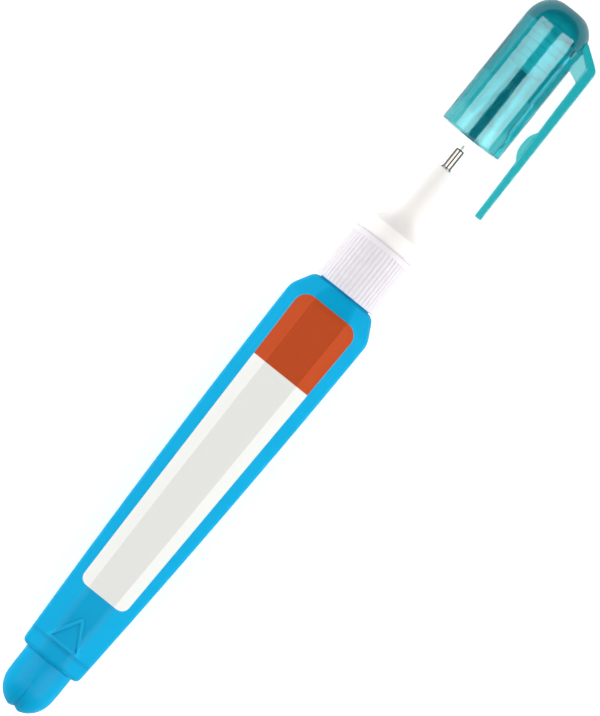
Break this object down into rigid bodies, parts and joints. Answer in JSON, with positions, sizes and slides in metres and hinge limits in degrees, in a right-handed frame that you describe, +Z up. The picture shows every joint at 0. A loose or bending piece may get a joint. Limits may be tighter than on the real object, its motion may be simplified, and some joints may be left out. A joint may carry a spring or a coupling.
{
  "type": "correction pen",
  "caption": "Correction pen with a tapered faceted squeeze barrel, ribbed collar, slender nozzle with a sprung needle tip, and a clear clip cap shown drawn off.",
  "frame": {"origin": "on the pen's axis at the rear face of the barrel, where the tail post stands", "axes": "+X along the pen towards the writing tip, +Z up out of the label side, -Y towards the cap's clip"},
  "size_m": [0.1279, 0.0156, 0.0142],
  "materials": {
    "barrel_blue": "blow-moulded, glossy",
    "tail_blue": "injection-moulded, glossy",
    "label_film": "printed film",
    "gasket": "die-cut foam",
    "collar_white": "satin, ribbed",
    "nozzle_white": "natural, slightly clear",
    "tip_steel": "drawn and polished",
    "needle_steel": "ground wire",
    "valve_plastic": "moulded",
    "spring_steel": "cold-drawn wire",
    "ball_steel": "polished",
    "cap_clear": "clear, polished mould",
    "seal_plastic": "soft, moulded"
  },
  "bodies": {
    "pen": {"barrel": "barrel_blue", "tail_plug": "tail_blue", "front_label": "label_film", "neck_gasket": "gasket", "ribbed_collar": "collar_white", "nozzle": "nozzle_white", "metal_tip": "tip_steel", "valve_spring": "spring_steel", "spring_retainer": "valve_plastic"},
    "needle": {"valve_needle": "needle_steel", "needle_slider": "valve_plastic"},
    "ball": {"mixing_ball": "ball_steel"},
    "cap": {"cap": "cap_clear", "cap_seal": "seal_plastic"}
  },
  "joints": [
    {"name": "needle_press", "type": "slide", "parent": "pen", "child": "needle", "axis": [-1, 0, 0], "range_m": [0, 0.0006], "stiffness_N_per_m": 150, "springref_m": -0.002, "deforming": ["valve_spring"]},
    {"name": "ball_roll", "type": "slide", "parent": "pen", "child": "ball", "axis": [0.9995, 0, -0.031], "range_m": [-0.0575, 0]},
    {"name": "cap_slide", "type": "slide", "parent": "pen", "child": "cap", "axis": [1, 0, 0], "range_m": [-0.0193, 0]}
  ]
}
